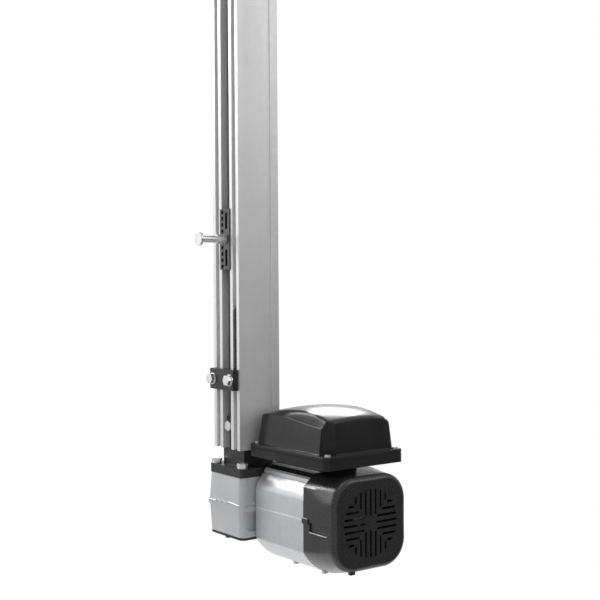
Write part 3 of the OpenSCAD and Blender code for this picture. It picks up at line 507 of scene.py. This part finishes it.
def fan_cover():
    """Hollow shell with the sunburst of air slots and the finger recess."""
    wall, fillet, lip, step_in = 3.0, 7.0, 0.6, 3.0
    steps, fillet_steps, inner_steps = 12, 6, 7
    length = FACE_X - COVER_X
    rings = []
    rings.append(cover_ring(COVER_X, 0.0, lip))
    rings.append(cover_ring(COVER_X + lip, 0.0, 0.0))
    for k in range(1, steps):
        x = COVER_X + 1 + (length - fillet - 1) * k / (steps - 1)
        t = (x - COVER_X) / (length - fillet)
        rings.append(cover_ring(x, smooth_step(t) * 0.5 + 0.5 * t, 0.0))
    for k in range(1, fillet_steps + 1):
        a = math.radians(90 * k / fillet_steps)
        x = FACE_X - fillet + fillet * math.sin(a)
        rings.append(cover_ring(x, 1.0, fillet * (1 - math.cos(a))))
    inner = []
    for k in range(inner_steps + 1):
        x = FACE_X - wall - (length - wall) * k / inner_steps
        t = min(1.0, (x - COVER_X) / (length - fillet))
        inner.append(cover_ring(x, t, wall + (step_in if k == 0 else 0.0)))
    bm = bmesh.new()
    outer_rings = loft(bm, rings, close_start=False)
    inner_rings = loft(bm, inner, close_start=True, close_end=False)
    a, b = outer_rings[0], inner_rings[-1]
    for k in range(len(a)):
        bm.faces.new((a[k], a[(k + 1) % len(a)], b[(k + 1) % len(b)], b[k]))
    obj = new_object("fan_cover_shell", bm, "frame", "black_moulding", 30)
    # sunburst: in each quarter, slots side by side that start near its diagonals and end on a circle
    pitch, width, beside = 8.0, 3.0, 3
    hub, reach, clear = 1.1 * pitch, 5.4 * pitch, 0.27
    slots = bmesh.new()
    for turn in range(4):
        for k in range(-beside, beside + 1):
            start = max(hub, (abs(k) + clear) * pitch)
            end = math.sqrt(reach ** 2 - (k * pitch) ** 2)
            outline = []
            for centre, first in ((end - width / 2, 0), (start + width / 2, 180)):
                for j in range(7):
                    a = math.radians(first + 180 * j / 6)
                    across = k * pitch + width / 2 * math.cos(a)
                    outline.append((across, centre + width / 2 * math.sin(a)))
            turned = []
            for u, v in outline:
                a = math.radians(90 * turn)
                turned.append((u * math.cos(a) - v * math.sin(a), u * math.sin(a) + v * math.cos(a)))
            depths = (FACE_X - 6, FACE_X + 2)
            loft(slots, [[at(x, FACE_Y + u, FACE_Z + v) for u, v in turned] for x in depths])
    rounded = rounded_rect(RECESS_X0, RECESS_X1, RECESS_Z0, RECESS_Z1, 3.0, 5)
    loft(slots, [[at(x, y, z) for x, z in rounded] for y in (-60, -44.6)])
    cut(obj, slots)
    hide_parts("fan_cover")


fan_cover()


def cover_details():
    """The latch over the joint with the housing, the foot lug, and light grey strips along latch and
    recess that paint their edge highlights.
    """
    latch = ((146.5, -48.2, -43), (159, -45.6, -35.5), 0.6)
    foot_lug = ((203, -19, -101.5), (208, -11, -97), 0.8)
    # light strips along the recess's lower edge and the latch's top: painted highlights
    recess_highlight = ((RECESS_X0 + 2, -49.0, RECESS_Z0 - 0.4), (RECESS_X1 - 2, -47.6, RECESS_Z0 + 0.4), 0.3)
    latch_highlight = ((147.2, -48.5, -35.9), (158.6, -47.8, -35.3), 0.2)
    boxes("fan_cover_latch", "black_moulding", latch, foot_lug)
    boxes("fan_cover_painted_highlights", "painted_highlight_grey", recess_highlight, latch_highlight)


cover_details()


# ---------------------------------------------------------------- lid of the control box

# outline of the box, and the underside and top of the lid's flange
BOX_X0, BOX_X1, BOX_Y0, BOX_Y1 = 33.5, 199.5, -51.0, 77.0
LID_LOW, RIM_Z = 41.0, 46.0
# how far the lid screws stand inside the box's outline
SCREW_X, SCREW_Y = 7.0, 9.5
# the dome: its outline at the flange, its highest point, and how far it sinks over which distance
DOME_X0, DOME_X1, DOME_Y0, DOME_Y1 = 41.0, 190.5, -43.5, 68.5
DOME_MID_X, DOME_MID_Y, DOME_TOP = 118.0, 13.0, 98.8
END_DROP, END_REACH, SIDE_DROP, SIDE_REACH = 10.5, 72, 3.0, 43
# top edge of the lid's front face, and the width of the band above it
FRONT_Y, BAND = -38.5, 6.5
# that edge is highest here, and sinks to the left and to the right
CREST_X, CREST_Z = 84, 88.4
WALL = 3.0


def dome_height(x, y):
    """Arched both ways, more towards the ends than towards the front and back."""
    along = (x - DOME_MID_X) / END_REACH
    across = (y - DOME_MID_Y) / SIDE_REACH
    return DOME_TOP - END_DROP * along ** 2 - SIDE_DROP * across ** 2


def band_foot(x):
    """Height of the front face's top edge, which sinks most towards the right."""
    left_drop, left_reach, right_drop, right_reach = 3.0, 37, 9.0, 92
    if x < CREST_X:
        return CREST_Z - left_drop * ((CREST_X - x) / left_reach) ** 2
    return CREST_Z - right_drop * smooth_step((x - CREST_X) / right_reach)


def lid_height(x, y):
    """Height of the lid's upper skin: the dome, and the sloping band along its front and back edges."""
    depth = min(y - FRONT_Y, 2 * DOME_MID_Y - FRONT_Y - y)
    if depth >= BAND:
        return dome_height(x, y)
    edge = dome_height(x, FRONT_Y + BAND)
    foot = min(band_foot(x), edge - 0.5)
    return foot + (edge - foot) * max(0.0, depth) / BAND


def lid_skin(shrink):
    """Closed solid of the lid's dome; shrink makes the hollow inside it."""
    per_corner, long_gap, pieces = 8, 20, 16
    x0, x1, y0, y1 = DOME_X0 + shrink, DOME_X1 - shrink, DOME_Y0 + shrink, DOME_Y1 - shrink
    # the walls lean in by this much at the left, right, front and back
    lean_x0, lean_x1, lean_y0, lean_y1 = 4.5, 2.6, 3.5, 2.6
    low = RIM_Z if shrink == 0 else LID_LOW - 1

    def outline(x0, x1, y0, y1, r):
        """Rounded rectangle whose long sides are cut into short pieces."""
        corners = rounded_rect(x0, x1, y0, y1, r, per_corner)
        points = []
        for k, (x, y) in enumerate(corners):
            nx, ny = corners[(k + 1) % len(corners)]
            points.append((x, y))
            gap = math.hypot(nx - x, ny - y)
            if gap > long_gap:
                for j in range(1, pieces):
                    points.append((x + (nx - x) * j / pieces, y + (ny - y) * j / pieces))
        return points

    foot = outline(x0, x1, y0, y1, 6)
    head = outline(x0 + lean_x0, x1 - lean_x1, y0 + lean_y0, y1 - lean_y1, 6)
    rings = []
    if shrink == 0:
        # small flare where the dome stands on the flange
        out = 1.4
        flare = outline(x0 - out, x1 + out, y0 - out, y1 + out, 7)
        rings.append([at(x, y, low - 1) for x, y in flare])
        rings.append([at(x, y, low) for x, y in flare])
        rings.append([at(x + 0.7 * (fx - x), y + 0.7 * (fy - y), low + 0.5)
                      for (x, y), (fx, fy) in zip(flare, foot)])
    else:
        rings.append([at(x, y, low) for x, y in foot])
    fillet = 2.4
    for t in (0.04, 0.3, 0.6, 0.85, 1.0):
        ring = []
        for (fx, fy), (hx, hy) in zip(foot, head):
            crest = lid_height(hx, hy) - shrink - fillet
            ring.append(at(fx + (hx - fx) * t, fy + (hy - fy) * t, low + (crest - low) * t))
        rings.append(ring)
    cx, cy = DOME_MID_X, DOME_MID_Y
    # fillet over the edge, then the skin towards the middle
    for turn in (30, 60, 90):
        a = math.radians(turn)
        inset = fillet * (1 - math.cos(a))
        ring = []
        for hx, hy in head:
            ux, uy = cx - hx, cy - hy
            reach = math.hypot(ux, uy)
            x, y = hx + ux / reach * inset, hy + uy / reach * inset
            ring.append(at(x, y, lid_height(hx, hy) - shrink - fillet * (1 - math.sin(a))))
        rings.append(ring)
    for t in (0.08, 0.13, 0.18, 0.25, 0.35, 0.5, 0.65, 0.8, 0.92):
        ring = []
        for hx, hy in head:
            x, y = hx + (cx - hx) * t, hy + (cy - hy) * t
            ring.append(at(x, y, lid_height(x, y) - shrink))
        rings.append(ring)
    bm = bmesh.new()
    loft(bm, rings)
    return bm


SCREW_SPOTS = [(x, y) for x in (BOX_X0 + SCREW_X, BOX_X1 - SCREW_X)
               for y in (BOX_Y0 + SCREW_Y, BOX_Y1 - SCREW_Y)]


def lid_columns(spare, low):
    """Screw recesses: the one at the front right is wide, the others only clear the heads."""
    wide, narrow, high = 15.0, 5.0, RIM_Z + 60
    bm = bmesh.new()
    for x, y in SCREW_SPOTS:
        r = spare + (wide if x > DOME_MID_X and y < DOME_MID_Y else narrow)
        ring = circle(x, y, r, 48)
        loft(bm, [[at(px, py, z) for px, py in ring] for z in (low, high)])
    return bm


def lid():
    """The hollow dome with its screw recesses, and the flange it stands on."""
    hollow = new_object("lid_hollow", lid_skin(WALL), "frame", "black_gloss")
    cut(hollow, lid_columns(WALL - 0.5, LID_LOW - 2))
    hollow_bm = bmesh.new()
    hollow_bm.from_mesh(hollow.data)
    bpy.data.objects.remove(hollow)
    dome = new_object("lid_dome", lid_skin(0.0), "frame", "black_gloss", 34)
    cut(dome, lid_columns(0.0, RIM_Z - 2))
    cut(dome, hollow_bm.copy())
    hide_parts("box_lid")
    # flange with its rounded edge, the opening under the dome and the four screw holes
    flange = bmesh.new()
    rings = []
    edge_profile = ((0.6, LID_LOW), (0.0, LID_LOW + 0.6), (0.0, RIM_Z - 1.2), (0.35, RIM_Z - 0.35),
                    (1.2, RIM_Z))
    for inset, z in edge_profile:
        edge = rounded_rect(BOX_X0 + inset, BOX_X1 - inset, BOX_Y0 + inset, BOX_Y1 - inset, 7 - inset)
        rings.append([at(x, y, z) for x, y in edge])
    loft(flange, rings)
    plate = new_object("lid_flange", flange, "frame", "black_gloss", 34)
    through = (LID_LOW - 1, RIM_Z + 1)
    opening = rounded_rect(48, 186, -37, 63, 5, 6)
    inside = bmesh.new()
    loft(inside, [[at(x, y, z) for x, y in opening] for z in through])
    cut(plate, inside)
    screw_hole = 2.0
    holes = bmesh.new()
    for x, y in SCREW_SPOTS:
        ring = circle(x, y, screw_hole, 24)
        loft(holes, [[at(px, py, z) for px, py in ring] for z in through])
    cut(plate, holes)
    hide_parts("box_lid")


lid()


# ---------------------------------------------------------------- small details

def sensor_lamp():
    """Small lamp on the front of the limit sensor, near its top."""
    lo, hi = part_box("limit_sensor")
    bm = bmesh.new()
    bmesh.ops.create_uvsphere(bm, u_segments=16, v_segments=10, radius=1.1 * MM)
    for v in bm.verts:
        v.co += Vector(((lo.x + hi.x) / 2, lo.y + 0.3 * MM, hi.z - 5 * MM))
    new_object("sensor_lamp", bm, "frame", "lamp_grey")


sensor_lamp()


def gearbox_details():
    """Panel in the lower half's right side, parting ridge with casting lumps, lug and side ledge."""
    lower = bpy.data.objects["soft_gearbox_lower"]
    panel_low, panel_high = (35.8, -57, -72), (60, -4, -47)
    panel = bmesh.new()
    box_mesh(panel, panel_low, panel_high, 1.5)
    cut(lower, panel)
    path = ((-43.8, -39.7), (-23, -39.2), (-18, -36.2), (-12, -38.6),
            (-6, -36.0), (2, -38.6), (8, -36.6), (36.0, -38.2))
    thick, chamfer = 2.0, 0.5
    root_y, face_y, crest_y = -66.5, -68.7, -69.1
    ridge = bmesh.new()
    for (xa, za), (xb, zb) in zip(path, path[1:]):
        section = [(xa, za), (xb, zb), (xb, zb + thick), (xa, za + thick)]
        crest = [(x, z + (chamfer if z in (za, zb) else -chamfer)) for x, z in section]
        loft(ridge, [[at(x, root_y, z) for x, z in section],
                     [at(x, face_y, z) for x, z in section],
                     [at(x, crest_y, z) for x, z in crest]])
    # the ridge takes the motor's lighter alloy, a painted highlight against the cast grey around it
    new_object("gearbox_ridge", ridge, "frame", "motor_alloy")
    lug = ((-44.6, -67, -43.5), (-41.0, -58, -36.5), 1.0)
    ledge = ((38.4, -64, -44.8), (40.4, 6, -38.4), 0.7)
    boxes("gearbox_ledge", "cast_grey", lug, ledge)


gearbox_details()


def housing_details():
    """Ridge line along the motor's front in light grey as a painted highlight, two pads under it, and the
    black strip over the channel on its top.
    """
    # the ridge's light grey paints the highlight along it
    ridge = ((43, -46.9, -40.4), (147.4, -45.5, -38.6), 0.3)
    near_pad = ((80, -13, -113), (86, -6, -108), 0.8)
    far_pad = ((142, -13, -113), (147.5, -6, -108), 0.8)
    # thin rib whose light grey paints a highlight line along the channel's edge
    channel_edge_highlight = ((61, -18.6, 17.4), (146.5, -17.6, 18.6), 0.3)
    boxes("housing_ridge_highlight", "painted_highlight_grey", ridge)
    boxes("housing_pads", "motor_alloy", near_pad, far_pad)
    # black strip laid over the channel between the two ribs on top, with a thin rib along its edge in
    # light grey as a painted highlight
    black_strip = bmesh.new()
    strip = ((-27.9, 10.7), (-26.3, 9.9), (-19.7, 15.4), (-18.2, 18.9), (-8, 18.9),
             (-8, 17.5), (-17.6, 17.5), (-19.4, 13.5), (-26, 8.6), (-28, 9.5))
    ends = (42.6, 147.6)
    loft(black_strip, [[at(x, y, z) for y, z in strip] for x in ends])
    new_object("housing_channel_black", black_strip, "frame", "black_moulding")
    boxes("housing_channel_highlight", "painted_highlight_grey", channel_edge_highlight)


housing_details()


# ---------------------------------------------------------------- everything not replaced

for node_name, obj in NODES.items():
    obj.data.materials.clear()
    obj.data.materials.append(MATERIALS[SLOT_OF[node_name]])
    for polygon in obj.data.polygons:
        polygon.material_index = 0


# ---------------------------------------------------------------- stage, light, camera

def stage_floor():
    """Pale floor below the part, small and low enough to stay out of the main view."""
    mesh = bpy.data.meshes.new("floor")
    half, drop = 0.95, 0.62
    z = cad_low.z - drop
    corners = [(-half, -half, z), (half, -half, z), (half, half, z), (-half, half, z)]
    mesh.from_pydata(corners, [], [(0, 1, 2, 3)])
    material = bpy.data.materials.new("floor")
    material.use_nodes = True
    shader = material.node_tree.nodes["Principled BSDF"]
    shader.inputs["Base Color"].default_value = (0.93, 0.93, 0.93, 1)
    shader.inputs["Roughness"].default_value = 0.9
    shader.inputs["Emission Color"].default_value = (1, 1, 1, 1)
    shader.inputs["Emission Strength"].default_value = 0.05
    mesh.materials.append(material)
    floor = bpy.data.objects.new("floor", mesh)
    bpy.context.scene.collection.objects.link(floor)


stage_floor()


def softbox(name, spot, target, width, height, power):
    """A rectangular lamp at the spot, facing the target; sizes in metres, power in watts."""
    light = bpy.data.lights.new(name, "AREA")
    light.shape = "RECTANGLE"
    light.size, light.size_y = width, height
    light.energy = power
    obj = bpy.data.objects.new(name, light)
    obj.location = spot
    obj.rotation_mode = "QUATERNION"
    obj.rotation_quaternion = (Vector(target) - Vector(spot)).to_track_quat("-Z", "Y")
    bpy.context.scene.collection.objects.link(obj)


def toward(tree, direction, start, full):
    """A factor that rises from 0 to 1 as a direction in the world nears the given one."""
    coords = tree.nodes.new("ShaderNodeTexCoord")
    dot = tree.nodes.new("ShaderNodeVectorMath")
    dot.operation = "DOT_PRODUCT"
    dot.inputs[1].default_value = direction
    fade = tree.nodes.new("ShaderNodeMapRange")
    fade.interpolation_type = "SMOOTHSTEP"
    fade.inputs["From Min"].default_value = start
    fade.inputs["From Max"].default_value = full
    tree.links.new(coords.outputs["Generated"], dot.inputs[0])
    tree.links.new(dot.outputs["Value"], fade.inputs["Value"])
    return fade.outputs["Result"]


def blend(tree, factor, color):
    """A node that goes from its first colour to the given one with the factor."""
    mix = tree.nodes.new("ShaderNodeMix")
    mix.data_type = "RGBA"
    mix.inputs[7].default_value = color
    tree.links.new(factor, mix.inputs["Factor"])
    return mix


def lights():
    """A world white behind the part, dark low on its right and grey elsewhere, and five lamps."""
    grey, white, dark = (0.46, 0.46, 0.465, 1), (1, 1, 1, 1), (0.08, 0.08, 0.08, 1)
    behind, low_right = (-0.80, 0.60, 0.0), (0.77, 0.58, -0.26)
    world = bpy.data.worlds.new("studio")
    bpy.context.scene.world = world
    world.use_nodes = True
    tree = world.node_tree
    backdrop = blend(tree, toward(tree, behind, 0.85, 0.925), white)
    backdrop.inputs[6].default_value = grey
    shade = blend(tree, toward(tree, low_right, 0.86, 0.975), dark)
    tree.links.new(backdrop.outputs[2], shade.inputs[6])
    tree.links.new(shade.outputs[2], tree.nodes["Background"].inputs["Color"])
    target = (0.05, 0.0, -0.45)
    softbox("front_left", (-1.5, -1.7, 0.0), target, 1.4, 1.4, 8)
    softbox("chamfer_left", (-1.70, -0.66, 0.76), target, 0.6, 0.95, 28)
    softbox("behind_top", (-1.33, 1.26, 0.33), target, 0.42, 0.50, 7)
    softbox("right", (1.9, 1.35, 0.95), (0.03, 0.0, 0.3), 1.0, 1.8, 8)
    softbox("top", (0.3, -0.4, 1.5), target, 1.2, 1.2, 5)


lights()


def camera():
    """The picture's camera, as recovered from the edges of the part."""
    data = bpy.data.cameras.new("camera")
    data.sensor_width = 36.0
    data.lens = 65.8
    data.clip_start, data.clip_end = 0.01, 100.0
    azimuth, elevation, roll = math.radians(36.5965), math.radians(1.0434), math.radians(-0.3563)
    back = Vector((math.cos(azimuth) * math.cos(elevation), -math.sin(azimuth) * math.cos(elevation),
                   math.sin(elevation)))
    level = Vector((math.sin(azimuth), math.cos(azimuth), 0))
    upright = back.cross(level)
    right = level * math.cos(roll) + upright * math.sin(roll)
    up = -level * math.sin(roll) + upright * math.cos(roll)
    obj = bpy.data.objects.new("camera", data)
    turn = Matrix((right, up, back)).transposed().to_4x4()
    spot = at(1251.25, -868.57, 263.4)
    obj.matrix_world = Matrix.Translation(spot) @ turn
    bpy.context.scene.collection.objects.link(obj)
    bpy.context.scene.camera = obj


camera()
bpy.context.scene.view_settings.view_transform = "Standard"
